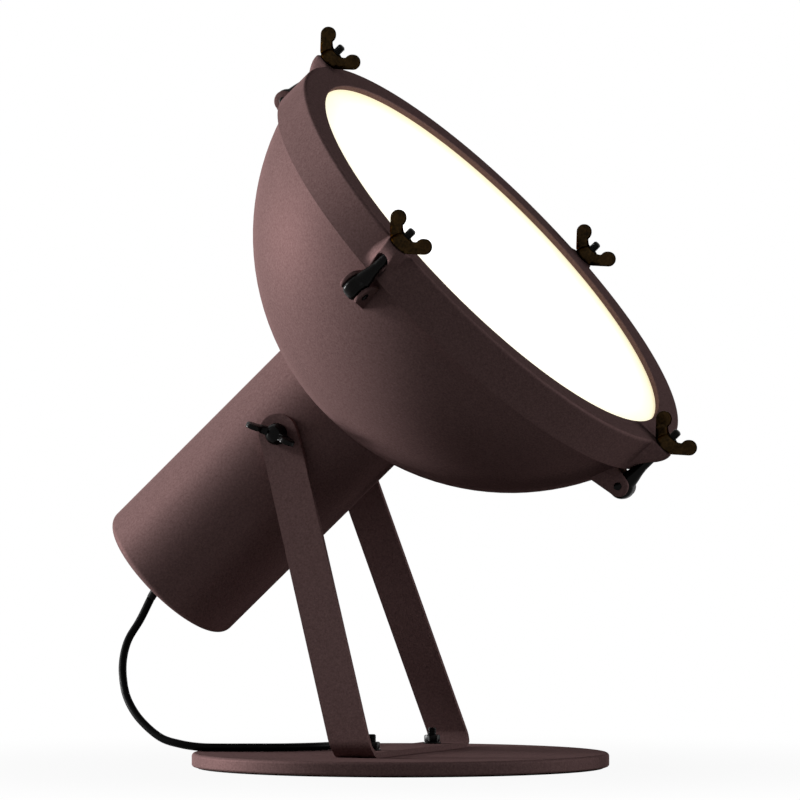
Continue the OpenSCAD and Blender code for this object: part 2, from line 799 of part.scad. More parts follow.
module plug_blades() {
    color(brass) plug_frame() blade_places() translate([-blade_t / 2, -blade_w / 2, plug_l - 8])
        cube([blade_t, blade_w, 8 + blade_l]);
}

base_disc();
base_pad();
yoke();
yoke_bolts();
yoke_washers();
yoke_nuts();
rear_housing();
bowl();
front_ring();
diffuser_glass();
glass_gasket();
pivot_bosses();
pivot_studs();
friction_washers();
mount_plate();
housing_screws();
housing_nuts();
lampholder();
holder_contact();
bulb_cap();
bulb_glass();
terminal_block();
inner_lead();
cord_gland();
gland_nut();
hinge_ears();
hinge_pins();
eye_bolts();
wing_nut_top();
wing_nut_near();
wing_nut_bottom();
wing_nut_far();
pivot_wing_nut_near();
pivot_wing_nut_far();
cord_drop();
cord_on_base();
cord_coil();
coil_tie();
plug_body();
plug_blades();
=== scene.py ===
import math

import bmesh
import bpy
from mathutils import Matrix, Vector


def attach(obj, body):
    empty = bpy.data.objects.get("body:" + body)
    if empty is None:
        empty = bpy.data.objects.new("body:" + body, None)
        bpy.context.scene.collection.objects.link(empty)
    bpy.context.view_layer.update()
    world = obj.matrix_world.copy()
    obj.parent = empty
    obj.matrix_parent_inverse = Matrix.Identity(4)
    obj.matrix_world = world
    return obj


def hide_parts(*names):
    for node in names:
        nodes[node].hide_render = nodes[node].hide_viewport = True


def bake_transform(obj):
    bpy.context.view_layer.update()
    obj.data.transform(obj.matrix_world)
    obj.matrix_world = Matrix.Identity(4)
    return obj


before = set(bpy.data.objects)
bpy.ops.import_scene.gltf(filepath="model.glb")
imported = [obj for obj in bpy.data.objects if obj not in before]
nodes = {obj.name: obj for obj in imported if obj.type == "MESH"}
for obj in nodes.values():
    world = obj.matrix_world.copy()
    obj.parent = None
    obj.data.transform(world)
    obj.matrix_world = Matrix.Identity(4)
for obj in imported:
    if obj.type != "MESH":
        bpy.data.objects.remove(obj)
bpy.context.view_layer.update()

MM = 0.001

# Sizes in millimetres that are the same in the part's source: base and yoke
BASE_H = 10.8
PAD_T = 1
STRIP_T = 3.8
FOOT_X = 1.4
FOOT_BOLT_Y = 59
FOOT_BOLT_D = 6
FOOT_BOLT_UP = 11.5
FOOT_HEAD_D = 11
FOOT_HEAD_H = 3.5
FOOT_NUT_FLATS = 10
FOOT_NUT_H = 5
FOOT_WASHER_T = 1.2
SEAT_Z = BASE_H + STRIP_T

# The same for the tilt pivot
PIVOT = Vector((-68.7, 0, 237.2))
TILT = 42.7
STUD_D = 8
BOSS_PROUD = 0.6
FRICTION_T = 1
PIVOT_WING_TURN = 22.5

# The same for the head, along its axis from the pivot and out from the axis
RING_R = 182.5
CAN_R = 57.8
CAN_REAR = 151
CAN_EDGE = 6
NECK = 34.4
NECK_HOLE_R = 44
RIM_SHORT = 17.5
SHEET_T = 2
BAND_W = 28.5
BAND_WALL = 3
LIP_W = 20
LIP_T = 4
BOWL_CENTRE = NECK + math.sqrt(RING_R**2 - CAN_R**2)
FRONT = BOWL_CENTRE - RIM_SHORT
OPENING_R = RING_R - LIP_W
BAND_IN = RING_R - BAND_WALL
ARM_OUT = CAN_R + BOSS_PROUD + FRICTION_T + STRIP_T

# The same for the ring's clamps, the strain relief and the cord
BOLT_RISE = 4.5
BOLT_R = RING_R + BOLT_RISE
PIN_BACK = 41.5
PIN_S = FRONT - PIN_BACK
SHANK_D = 7
RING_THREAD_D = 6
THREAD_OUT = 15.5
EYE_R = 9
EAR_FLARE = 5
SLOT_W = 9
HOLE_GAP = 0.3
GLAND_NECK_R = 6
GLAND_FLANGE_R = 9
GLAND_FLANGE_T = 3
CORD_D = 5.8

# Details in millimetres as they are drawn here; several differ a little from the solids
LUG_RISE = 11.9
LUG_HALF_W = 14
LUG_NECK_HALF_W = 11
LUG_CREST_HALF_W = 4.6
SLOT_END = 15
EAR_R = 7.5
EAR_T = 2.8
EAR_TOE = 1.5
EAR_SINK = 1
PIN_R = 2.8
EYE_W = 12
EYE_ROUND = 4
STUD_OUT = 7
WING_T = 3.6

# From the head's own frame, +X along the optical axis, to the lamp's, both in millimetres
HEAD = Matrix.Translation(PIVOT) @ Matrix.Rotation(math.radians(-TILT), 4, "Y")
HEAD_AXIS = (HEAD.to_3x3() @ Vector((1, 0, 0))).normalized()


# Camera, fitted to the photograph: place in metres, turn and lift in degrees, lens in millimetres

CAMERA_PLACE = (1.817545, -4.657920, 0.242234)
CAMERA_TURN = 21.32
CAMERA_LIFT = -0.22
CAMERA_LENS = 316.16
CAMERA_SENSOR = 36


def place_camera():
    turn, lift = math.radians(CAMERA_TURN), math.radians(CAMERA_LIFT)
    back = Vector((math.sin(turn) * math.cos(lift), -math.cos(turn) * math.cos(lift), math.sin(lift)))
    lens = bpy.data.cameras.new("camera")
    lens.lens = CAMERA_LENS
    lens.sensor_width = CAMERA_SENSOR
    lens.clip_end = 30
    camera = bpy.data.objects.new("camera", lens)
    camera.location = CAMERA_PLACE
    camera.rotation_euler = back.to_track_quat("Z", "Y").to_euler()
    bpy.context.scene.collection.objects.link(camera)
    bpy.context.scene.camera = camera


place_camera()


# Mesh helpers, all in millimetres

AXIS_R = 0.05  # a turned profile stays this far off its axis


def add_object(name, bm, matrix=Matrix.Identity(4), crease=180):
    """Turns a mesh in millimetres into an object in metres, shaded smooth up to the crease angle."""
    mesh = bpy.data.meshes.new(name)
    bmesh.ops.recalc_face_normals(bm, faces=bm.faces)
    bm.transform(Matrix.Scale(MM, 4) @ matrix)
    for face in bm.faces:
        face.smooth = True
    bm.to_mesh(mesh)
    bm.free()
    if crease < 180:
        mesh.set_sharp_from_angle(angle=math.radians(crease))
    obj = bpy.data.objects.new(name, mesh)
    bpy.context.scene.collection.objects.link(obj)
    return obj


def loft(bm, rings, closed=False):
    """Skins a row of rings of points, with caps at both ends unless the row is closed."""
    loops = [[bm.verts.new(p) for p in ring] for ring in rings]
    pairs = list(zip(loops, loops[1:]))
    if closed:
        pairs.append((loops[-1], loops[0]))
    for a, b in pairs:
        count = len(a)
        for k in range(count):
            bm.faces.new((a[k], a[(k + 1) % count], b[(k + 1) % count], b[k]))
    if not closed:
        bm.faces.new(list(reversed(loops[0])))
        bm.faces.new(loops[-1])


def round_ring(centre, way, radius, sides, hint):
    """A circle of points square to a way; the hint is any other way and sets where the circle starts."""
    u = way.cross(hint).normalized()
    v = u.cross(way).normalized()
    angles = [2 * math.pi * k / sides for k in range(sides)]
    return [centre + radius * (math.cos(a) * u + math.sin(a) * v) for a in angles]


def way_along(path, i):
    """The way that a path runs at one of its points."""
    return (path[min(i + 1, len(path) - 1)] - path[max(i - 1, 0)]).normalized()


def smooth_path(points, step):
    """A curve through the points, sampled about every step millimetres."""
    path = []
    for i in range(len(points) - 1):
        a, b = points[i], points[i + 1]
        before = points[i - 1] if i else a + (a - b)
        after = points[i + 2] if i + 2 < len(points) else b + (b - a)
        count = max(1, round((b - a).length / step))
        for k in range(count):
            t = k / count
            path.append(0.5 * (2 * a + (b - before) * t + (2 * before - 5 * a + 4 * b - after) * t**2
                               + (3 * a - before - 3 * b + after) * t**3))
    path.append(points[-1])
    return path


def fuse(obj, voxel_mm, soften):
    """Melts overlapping solids of one object into a single skin with softened corners, as in a casting."""
    remesh = obj.modifiers.new("melt", "REMESH")
    remesh.mode = "VOXEL"
    remesh.voxel_size = voxel_mm * MM
    remesh.use_smooth_shade = True
    relax = obj.modifiers.new("soften", "SMOOTH")
    relax.factor = 0.5
    relax.iterations = soften
    depsgraph = bpy.context.evaluated_depsgraph_get()
    mesh = bpy.data.meshes.new_from_object(obj.evaluated_get(depsgraph))
    obj.modifiers.clear()
    obj.data = mesh


def smoothstep(t):
    """Eases from 0 to 1."""
    t = min(max(t, 0), 1)
    return t * t * (3 - 2 * t)


def arc(centre, radius, start, end, count):
    """Points along an arc, from one angle in degrees to another."""
    angles = [math.radians(start + (end - start) * k / count) for k in range(count + 1)]
    return [(centre[0] + radius * math.cos(a), centre[1] + radius * math.sin(a)) for a in angles]


def add_lathe(bm, profile, sides, matrix):
    """Turns (radius, height) points about Z into a closed body; the profile is a closed loop."""
    rings = []
    for k in range(sides):
        a = 2 * math.pi * k / sides
        rings.append([matrix @ Vector((r * math.cos(a), r * math.sin(a), z)) for r, z in profile])
    loft(bm, rings, closed=True)


# Spun can, cast ring and welded ears of the head, in the head's own frame

ALONG_X = Matrix.Rotation(math.radians(90), 4, "Y")
ALONG_Y = Matrix.Rotation(math.radians(90), 4, "X")
STATIONS = [Matrix.Rotation(math.radians(90 * k), 4, "X") for k in range(4)]


def make_can():
    """The can with its rounded rear end, drawn in one piece and flanged inwards at the bowl."""
    rear = -CAN_REAR
    corner = (CAN_R - CAN_EDGE, rear + CAN_EDGE)
    outside = [(GLAND_NECK_R, rear), *arc(corner, CAN_EDGE, -90, 0, 10), (CAN_R, NECK), (NECK_HOLE_R, NECK)]
    inside = [(NECK_HOLE_R, NECK - SHEET_T), (CAN_R - SHEET_T, NECK - SHEET_T),
              *arc(corner, CAN_EDGE - SHEET_T, 0, -90, 6), (GLAND_NECK_R, rear + SHEET_T)]
    bm = bmesh.new()
    add_lathe(bm, outside + inside, sides=144, matrix=ALONG_X)
    return add_object("spun_can", bm, HEAD, crease=35)


def lug_height(back, side):
    """Rise of a ring lug over the band, at a place behind the front face and to the side of its bolt."""
    brow, slot_edge = 3, 1.6
    crest = LUG_RISE * (1 - smoothstep((back - brow) / (BAND_W - brow)))
    foot = LUG_NECK_HALF_W + (LUG_HALF_W - LUG_NECK_HALF_W) * smoothstep(back / SLOT_END)
    flank = 1 - smoothstep((abs(side) - LUG_CREST_HALF_W) / (foot - LUG_CREST_HALF_W))
    off_slot = math.hypot(side, min(back - SLOT_END, 0)) - SLOT_W / 2
    return crest * flank * smoothstep(off_slot / slot_edge + 0.5)


def ring_section(side):
    """The ring's section, as points (back from the front face, radius), to the side of a lug's bolt."""
    edge, lip_edge, step = 2.2, 0.7, 0.7
    section = [(LIP_T, OPENING_R)]
    section += [(b, OPENING_R + lip_edge + r) for b, r in arc((lip_edge, 0), lip_edge, -90, -180, 4)]
    brow = RING_R + lug_height(0, side) - edge
    section += [(0, OPENING_R + 3 * lip_edge), (0, brow - edge)]
    section += [(b, brow + lug_height(b, side) - lug_height(0, side) + r)
                for b, r in arc((edge, 0), edge, 180, 90, 6)]
    count = round((BAND_W - edge) / step)
    for i in range(1, count + 1):
        back = edge + (BAND_W - edge) * i / count
        section.append((back, RING_R + lug_height(back, side)))
    return section + [(BAND_W, BAND_IN), (LIP_T, BAND_IN)]


def make_ring():
    """Front ring: lip, band and four hooded lugs cast in one, each with a slot for its eye bolt."""
    lug_steps, gap_steps, margin = 50, 50, 1
    reach = LUG_HALF_W + margin
    sides = [reach * (2 * i / lug_steps - 1) for i in range(lug_steps + 1)]
    gap = math.pi / 2 * RING_R - 2 * reach
    sides += [reach + gap * i / gap_steps for i in range(1, gap_steps)]
    bm = bmesh.new()
    rings = []
    for station in STATIONS:
        for side in sides:
            turn = station @ Matrix.Rotation(side / RING_R, 4, "X")
            rings.append([turn @ Vector((FRONT - back, 0, r)) for back, r in ring_section(side)])
    loft(bm, rings, closed=True)
    return add_object("cast_ring", bm, HEAD, crease=70)


def ear_outline(inset):
    """A round-headed ear in the plane of the axis, its foot a little inside the bowl's skin."""
    foot = []
    for s in (PIN_S + EAR_R + EAR_TOE - inset, PIN_S - EAR_R - EAR_FLARE + inset):
        foot.append((s, math.sqrt(RING_R**2 - (BOWL_CENTRE - s) ** 2) - EAR_SINK))
    return [foot[0], *arc((PIN_S, BOLT_R), EAR_R - inset, 0, 180, 18), foot[1]]


def make_ears():
    """Four pairs of ears on the bowl, with dressed edges."""
    soft = 0.8
    knee = 0.3 * soft
    layers = [(0, soft), (knee, knee), (soft, 0), (EAR_T - soft, 0), (EAR_T - knee, knee), (EAR_T, soft)]
    bm = bmesh.new()
    for station in STATIONS:
        for hand in (-1, 1):
            rings = []
            for across, inset in layers:
                y = hand * (EYE_W / 2 + HOLE_GAP + across)
                rings.append([station @ Vector((s, y, r)) for s, r in ear_outline(inset)])
            loft(bm, rings)
    return add_object("welded_ears", bm, HEAD, crease=50)


def make_pins():
    """Hinge pins with low rounded ends that stand a little out of the ears."""
    proud, round_r, round_h = 1.3, 0.7, 0.5
    half = EYE_W / 2 + HOLE_GAP + EAR_T + proud
    rounded = [(PIN_R - round_r, half), (PIN_R, half - round_h)]
    profile = [(AXIS_R, half), *rounded, *[(r, -z) for r, z in reversed(rounded)], (AXIS_R, -half)]
    bm = bmesh.new()
    for station in STATIONS:
        place = station @ Matrix.Translation((PIN_S, 0, BOLT_R)) @ ALONG_Y
        add_lathe(bm, profile, sides=28, matrix=place)
    return add_object("rounded_pins", bm, HEAD, crease=40)


can, ring, ears, pins = make_can(), make_ring(), make_ears(), make_pins()
for obj, node in ((can, "rear_housing"), (ring, "front_ring"), (ears, "hinge_ears"), (pins, "hinge_pins")):
    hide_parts(node)
    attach(obj, "head")


# Cord: the drop from the strain relief, the run over the base, the coil put away behind it

BOOT_L = 18
BOOT_BEND = math.radians(16)
BOOT_R = BOOT_L / BOOT_BEND
BOOT_START = -CAN_REAR - GLAND_FLANGE_T


def boot_point(t):
    """A point of the strain relief's bent centre line, from 0 at its flange to 1 at its tip."""
    return Vector((BOOT_START - BOOT_R * math.sin(BOOT_BEND * t), 0,
                   -BOOT_R * (1 - math.cos(BOOT_BEND * t))))


BOOT_END = HEAD @ boot_point(1)
DROP = [(-200.5, -3, 103), (-207.5, -8, 89), (-209, -14, 75), (-206, -21, 61), (-199.5, -28, 47),
        (-187, -35, 33), (-168.5, -41, 20.5), (-151.5, -44, 16), (-136.5, -43, 14.1)]
ON_BASE = [(-123, -38.5), (-103, -30.5), (-84, -22), (-72.5, -11), (-63, 3.5), (-59, 22), (-60, 41),
           (-64, 59), (-71, 80), (-78, 98), (-85.5, 117)]
CORD_GAP = 0.1
BASE_CORD_Z = BASE_H + CORD_D / 2 + CORD_GAP
COIL_AT = Vector((-123, 167, 0))
COIL_TURNED = 21.3
COIL = Matrix.Translation(COIL_AT) @ Matrix.Rotation(math.radians(COIL_TURNED), 4, "Z")
COIL_IN_R = 17
COIL_GAP = 0.55
COIL_PITCH = CORD_D + COIL_GAP
COIL_TURNS = 5.8
COIL_STEPS = 24
TIE_T = 0.4
TIE_W = 12
TIE_ROOM = 1.3
COIL_Z = TIE_T + CORD_GAP + CORD_D / 2
OVER_GAP = 0.8
OVER_Z = COIL_Z + CORD_D + OVER_GAP
OVER_STEP = 9
SINK_Y = -14
SINK_L = 46
TAIL_L = 58
TAIL_R = 30
TAIL_STEPS = 8
STUB_L = 8
PLUG_L = 30
PLUG_W = 21
PLUG_H = 13
PLUG_Z = PLUG_H / 2
TAIL_WAY = math.radians(360 * COIL_TURNS + 90)


def turned(x, y, angle):
    """A point of the plane, turned about the origin."""
    return Vector((x * math.cos(angle) - y * math.sin(angle), x * math.sin(angle) + y * math.cos(angle)))


def sink(length):
    """Height of the cord while it goes down from the top of the coil into its eye."""
    return OVER_Z + (COIL_Z - OVER_Z) * smoothstep(length / SINK_L)


def tail_start():
    """Where the cord leaves the last turn of the coil."""
    return turned(COIL_IN_R + COIL_PITCH * COIL_TURNS, 0, TAIL_WAY - math.pi / 2)


def tail_centre():
    """Centre of the bend that brings the tail round to the plug."""
    return tail_start() + turned(TAIL_L, TAIL_R, TAIL_WAY)


def plug_point():
    """Where the cord goes into the plug."""
    x, y = tail_centre() + Vector((TAIL_R, STUB_L))
    return Vector((x, y, PLUG_Z))


def coil_points():
    """Centre line in the coil's own frame: over the turns, down into the eye, round and out to the plug."""
    dip = 0.3
    off_base = COIL.inverted() @ Vector((*ON_BASE[-1], BASE_CORD_Z))
    points = [off_base + Vector((0, CORD_D, -dip))]
    points += [Vector((COIL_IN_R, SINK_Y - OVER_STEP * k, OVER_Z)) for k in (4, 3, 2, 1, 0)]
    points.append(Vector((COIL_IN_R, SINK_Y / 2, sink(-SINK_Y / 2))))
    for i in range(int(COIL_STEPS * COIL_TURNS) + 1):
        turns = i / COIL_STEPS
        x, y = turned(COIL_IN_R + COIL_PITCH * turns, 0, 2 * math.pi * turns)
        points.append(Vector((x, y, sink(2 * math.pi * COIL_IN_R * turns - SINK_Y))))
    for share in (0.25, 0.5, 0.75):
        x, y = tail_start() + turned(TAIL_L * share, 0, TAIL_WAY)
        points.append(Vector((x, y, COIL_Z)))
    # The tail swings round until it runs along the coil's own Y, where the plug lies
    swing = 5 * math.pi / 2 + 2 * math.pi * math.floor(COIL_TURNS) - TAIL_WAY
    for i in range(TAIL_STEPS + 1):
        share = i / TAIL_STEPS
        x, y = tail_centre() + turned(0, -TAIL_R, TAIL_WAY + swing * share)
        points.append(Vector((x, y, COIL_Z + (PLUG_Z - COIL_Z) * smoothstep(share))))
    points.append(plug_point())
    return points


def make_cord():
    """The whole cord as one tube; gives the object, its centre line and its length, both in metres."""
    step, sides, floor_gap = 3.2, 12, 0.05
    lowest = CORD_D / 2 + floor_gap
    route = [BOOT_END] + [Vector(p) for p in DROP] + [Vector((*p, BASE_CORD_Z)) for p in ON_BASE]
    route += [COIL @ p for p in coil_points()]
    path = [Vector((p.x, p.y, max(p.z, lowest))) for p in smooth_path(route, step)]
    # The first quarter holds the drop, which hangs nearly upright, so its rings start from a slanted hint
    slanted, upright = Vector((-0.3, 0.5, 0.8)), Vector((0, 0, 1))
    rings = []
    for i, point in enumerate(path):
        hint = slanted if i < len(path) // 4 else upright
        rings.append(round_ring(point, way_along(path, i), CORD_D / 2, sides, hint))
    # Neighbouring rings start at the nearest point, so that the skin does not twist
    for i in range(1, len(rings)):
        first = rings[i - 1][0]
        shift = min(range(sides), key=lambda k: (rings[i][k] - first).length)
        rings[i] = rings[i][shift:] + rings[i][:shift]
    bm = bmesh.new()
    loft(bm, rings)
    cord = add_object("mains_cord", bm)
    length = sum((b - a).length for a, b in zip(path, path[1:]))
    return cord, [p * MM for p in path], length * MM


def make_boot():
    """Tapered strain relief with moulded rings, drooping from the can's rear end."""
    start_r, tip_r, taper_power = 7.8, 3.1, 2.6
    grooves, groove_depth, groove_from, groove_to = 5.5, 0.5, 0.06, 0.6
    inner_edge, outer_edge = 0.4, 0.6
    steps, sides = 60, 40
    hint = Vector((0, 1, 0))
    flange = [(0, GLAND_FLANGE_R - inner_edge), (inner_edge, GLAND_FLANGE_R),
              (GLAND_FLANGE_T - outer_edge, GLAND_FLANGE_R), (GLAND_FLANGE_T, GLAND_FLANGE_R - outer_edge)]
    rings = []
    for out, r in flange:
        rings.append(round_ring(Vector((-CAN_REAR - out, 0, 0)), Vector((-1, 0, 0)), r, sides, hint))
    for i in range(steps + 1):
        t = i / steps
        way = Vector((-math.cos(BOOT_BEND * t), 0, -math.sin(BOOT_BEND * t)))
        radius = tip_r + (start_r - tip_r) * (1 - t) ** taper_power
        if groove_from < t < groove_to:
            radius -= groove_depth * max(0, math.sin(2 * math.pi * grooves * t))
        rings.append(round_ring(boot_point(t), way, radius, sides, hint))
    bm = bmesh.new()
    loft(bm, rings)
    return add_object("strain_relief", bm, HEAD)


def make_plug():
    """Two-pin plug with a waisted, ribbed body."""
    sides, squareness = 48, 0.55
    along_plug = COIL @ Matrix.Translation(plug_point()) @ Matrix.Rotation(math.radians(-90), 4, "X")
    sections = [(0, 8.6, 8.4), (0.6, 9.4, 9.2), (5, 10.6, 9.8), (9, 14.4, 11.2), (14, 18.6, 12.4),
                (19, 20.4, 12.9), (24, PLUG_W, PLUG_H), (PLUG_L - 1, PLUG_W, PLUG_H),
                (PLUG_L - 0.3, PLUG_W - 0.5, PLUG_H - 0.5), (PLUG_L, PLUG_W - 1.6, PLUG_H - 1.6)]
    rings = []
    for z, w, h in sections:
        ring = []
        for k in range(sides):
            a = 2 * math.pi * k / sides
            c, s = math.cos(a), math.sin(a)
            ring.append(Vector((math.copysign(abs(c) ** squareness, c) * w / 2,
                                math.copysign(abs(s) ** squareness, s) * h / 2, z)))
        rings.append(ring)
    bm = bmesh.new()
    loft(bm, rings)
    rib, rib_sunk = (0.5, 6, 0.9), 0.2
    for side in (-1, 1):
        for z in (20.5, 22.5, 24.5, 26.5):
            place = Matrix.Translation((side * (PLUG_W / 2 - rib_sunk), 0, z)) @ Matrix.Diagonal((*rib, 1))
            bmesh.ops.create_cube(bm, size=1, matrix=place)
    return add_object("plug", bm, along_plug)


def make_tie():
    """Hook-and-loop band round the coil, its end lapped over the top."""
    lap, corner, slack, lap_rise = 14, 1.6, 0.4, 1.1 * TIE_T
    inner = COIL_IN_R + COIL_PITCH / 2 - CORD_D / 2 - TIE_ROOM
    outer = COIL_IN_R + COIL_PITCH * (math.floor(COIL_TURNS) + 0.5) + CORD_D / 2 + TIE_ROOM
    middle = (inner + outer) / 2
    under, over = TIE_T / 2, CORD_D + slack + TIE_T * 1.5
    lapped = over + lap_rise
    corners = [(-outer + corner, over - corner, 90), (-outer + corner, under + corner, 180),
               (-inner - corner, under + corner, 270), (-inner - corner, over - corner, 0)]
    line = [Vector((-middle + lap / 2, 0, lapped)), Vector((-middle - lap / 2, 0, lapped))]
    for x, z, start in corners:
        line += [Vector((px, 0, pz)) for px, pz in arc((x, z), corner, start, start + 90, 6)]
    line.append(Vector((-middle - lap / 2, 0, over)))
    side = Vector((0, TIE_W / 2, 0))
    rings = []
    for i, p in enumerate(line):
        way = way_along(line, i)
        out = Vector((way.z, 0, -way.x)) * TIE_T / 2
        rings.append([p + out + side, p + out - side, p - out - side, p - out + side])
    bm = bmesh.new()
    loft(bm, rings)
    return add_object("coil_band", bm, COIL, crease=50)


cord, cord_path, cord_length = make_cord()
boot = make_boot()
plug = make_plug()
tie = make_tie()
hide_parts("cord_drop", "cord_on_base", "cord_coil")
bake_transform(cord)
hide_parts("cord_gland")
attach(boot, "head")
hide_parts("plug_body")
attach(plug, "stand")
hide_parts("coil_tie")
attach(tie, "stand")


# Hardware

# The bars that melt into one wing of a nut, waist, tip and root: both ends in the wing's plane,
# half width, and how much thicker than the wing
WING_BARS = [((6.2, 4.4), (14.6, 12.6), 4.2, 0.6),
             ((13.4, 13.2), (13.8, 13.6), 5.5, 0),
             ((4.4, 5), (8.2, 7.2), 3.6, 2)]
NUT_GAP = 0.1


def add_thread(bm, radius, start, end, pitch, matrix):
    """A threaded rod along Z with a chamfered tip."""
    sides, per_pitch, depth, chamfer = 24, 6, 0.32 * pitch, 1
    count = round((end - start) / pitch * per_pitch)
    rings = []
    for i in range(count + 1):
        z = start + (end - start) * i / count
        limit = min(radius, radius - chamfer + (end - z))
        ring = []
        for k in range(sides):
            phase = ((z / pitch) - k / sides) % 1
            groove = depth * abs(2 * phase - 1)
            r = min(limit, radius - groove)
            a = 2 * math.pi * k / sides
            ring.append(matrix @ Vector((r * math.cos(a), r * math.sin(a), z)))
        rings.append(ring)
    loft(bm, rings)


def add_stadium(bm, a, b, radius, thickness, matrix):
    """A flat bar with round ends from a to b in the XZ plane."""
    way = math.degrees(math.atan2(b[1] - a[1], b[0] - a[0]))
    outline = arc(b, radius, way - 90, way + 90, 14) + arc(a, radius, way + 90, way + 270, 14)
    rings = [[matrix @ Vector((x, y, z)) for x, z in outline] for y in (-thickness / 2, thickness / 2)]
    loft(bm, rings)


def make_wing_nut(name, thread_d, matrix, blind=False):
    """Cast wing nut standing on Z = 0 with its wings along X; a blind one is closed by a dome."""
    hole = thread_d / 2 + HOLE_GAP
    if blind:
        boss = [(7.3, NUT_GAP), (7.9, 0.7), (7.9, 2.4), (7.3, 5.6), (5.6, 8.6), (3, 10.2), (AXIS_R, 10.7),
                (AXIS_R, NUT_GAP)]
    else:
        boss = [(hole, NUT_GAP), (6.9, NUT_GAP), (7.5, 0.7), (7.4, 2.4), (6.5, 6), (5.2, 8.6), (4.6, 9.3),
                (hole, 9.3)]
    bm = bmesh.new()
    add_lathe(bm, boss, sides=40, matrix=Matrix.Identity(4))
    for turn in (0, math.pi):
        side = Matrix.Rotation(turn, 4, "Z")
        for a, b, radius, thicker in WING_BARS:
            add_stadium(bm, a, b, radius, WING_T + thicker, side)
    nut = add_object(name, bm)
    fuse(nut, voxel_mm=0.42, soften=14)
    nut.data.transform(Matrix.Scale(MM, 4) @ matrix @ Matrix.Scale(1 / MM, 4))
    return nut


def forge_eye():
    """One eye bolt without its thread: a rounded eye about the pin that necks into the shank along X."""
    flank, crown = EYE_W / 2, EYE_R - EYE_ROUND
    eye = [(PIN_R, -flank), *arc((crown, -flank + EYE_ROUND), EYE_ROUND, -90, 0, 6),
           *arc((crown, flank - EYE_ROUND), EYE_ROUND, 0, 90, 6), (PIN_R, flank)]
    shank_end = PIN_BACK - 0.6
    shank = [(AXIS_R, 4), (6.6, 4), (6, 8), (5.2, 12), (4.2, 16), (SHANK_D / 2, 21),
             (SHANK_D / 2, shank_end), (AXIS_R, shank_end)]
    bm = bmesh.new()
    add_lathe(bm, eye, sides=48, matrix=ALONG_Y)
    add_lathe(bm, shank, sides=32, matrix=ALONG_X)
    forged = add_object("eye_blank", bm)
    fuse(forged, voxel_mm=0.5, soften=4)
    return forged


def make_eye_bolts():
    """Four eye bolts, each with a threaded end in front of the ring."""
    thread_start, pitch = PIN_BACK - 1.5, 1.2
    forged = forge_eye()
    bm = bmesh.new()
    for station in STATIONS:
        place = HEAD @ station @ Matrix.Translation((PIN_S, 0, BOLT_R))
        piece = bmesh.new()
        piece.from_mesh(forged.data)
        piece.transform(place @ Matrix.Scale(1 / MM, 4))
        copy = [bm.verts.new(v.co) for v in piece.verts]
        for face in piece.faces:
            bm.faces.new([copy[v.index] for v in face.verts])
        piece.free()
        add_thread(bm, RING_THREAD_D / 2, thread_start, PIN_BACK + THREAD_OUT, pitch, place @ ALONG_X)
    bpy.data.objects.remove(forged)
    return add_object("eye_bolts_forged", bm)


def make_studs():
    """Both pivot studs, from inside the can into their blind nuts."""
    inside, pitch = 9, 1.25
    bm = bmesh.new()
    for side in (1, -1):
        place = Matrix.Translation(PIVOT) @ Matrix.Rotation(math.radians(90 * side), 4, "X")
        add_thread(bm, STUD_D / 2, CAN_R - inside, ARM_OUT + STUD_OUT, pitch, place)
    return add_object("pivot_studs_threaded", bm)


def make_foot_bolts():
    """Hexagon-headed bolts from below, with threaded ends standing out of their nuts."""
    head_r, head_top, pitch = FOOT_HEAD_D / 2, PAD_T + FOOT_HEAD_H, 1.1
    chamfer_r, chamfer_h, overlap = 0.6, 0.5, 0.1
    outline = [(head_r - chamfer_r, PAD_T), (head_r, PAD_T + chamfer_h), (head_r, head_top)]
    corners = [math.radians(60 * k) for k in range(6)]
    bm = bmesh.new()
    for side in (-1, 1):
        at = Matrix.Translation((FOOT_X, side * FOOT_BOLT_Y, 0))
        loft(bm, [[at @ Vector((r * math.cos(a), r * math.sin(a), z)) for a in corners]
                  for r, z in outline])
        add_thread(bm, FOOT_BOLT_D / 2, head_top - overlap, SEAT_Z + FOOT_BOLT_UP, pitch, at)
    return add_object("foot_bolts_threaded", bm, crease=30)


def make_foot_nuts():
    """Hexagon nuts with chamfered corners."""
    sides, chamfer, ease = 48, 0.5, 0.1
    face_r, corner = FOOT_NUT_FLATS / 2 - ease, FOOT_NUT_FLATS / math.sqrt(3)
    bore = FOOT_BOLT_D / 2 + ease
    low = SEAT_Z + FOOT_WASHER_T
    high = low + FOOT_NUT_H
    outside = [(low, face_r), (low + chamfer, corner), (high - chamfer, corner), (high, face_r)]
    bm = bmesh.new()
    for side in (-1, 1):
        at = Matrix.Translation((FOOT_X, side * FOOT_BOLT_Y, 0))
        rings = []
        for z, limit in outside + [(high, bore), (low, bore)]:
            ring = []
            for k in range(sides):
                a = 2 * math.pi * k / sides
                flat = (FOOT_NUT_FLATS / 2) / math.cos((a + math.pi / 6) % (math.pi / 3) - math.pi / 6)
                r = min(flat, limit)
                ring.append(at @ Vector((r * math.cos(a), r * math.sin(a), z)))
            rings.append(ring)
        loft(bm, rings, closed=True)
    return add_object("foot_nuts_chamfered", bm, crease=25)


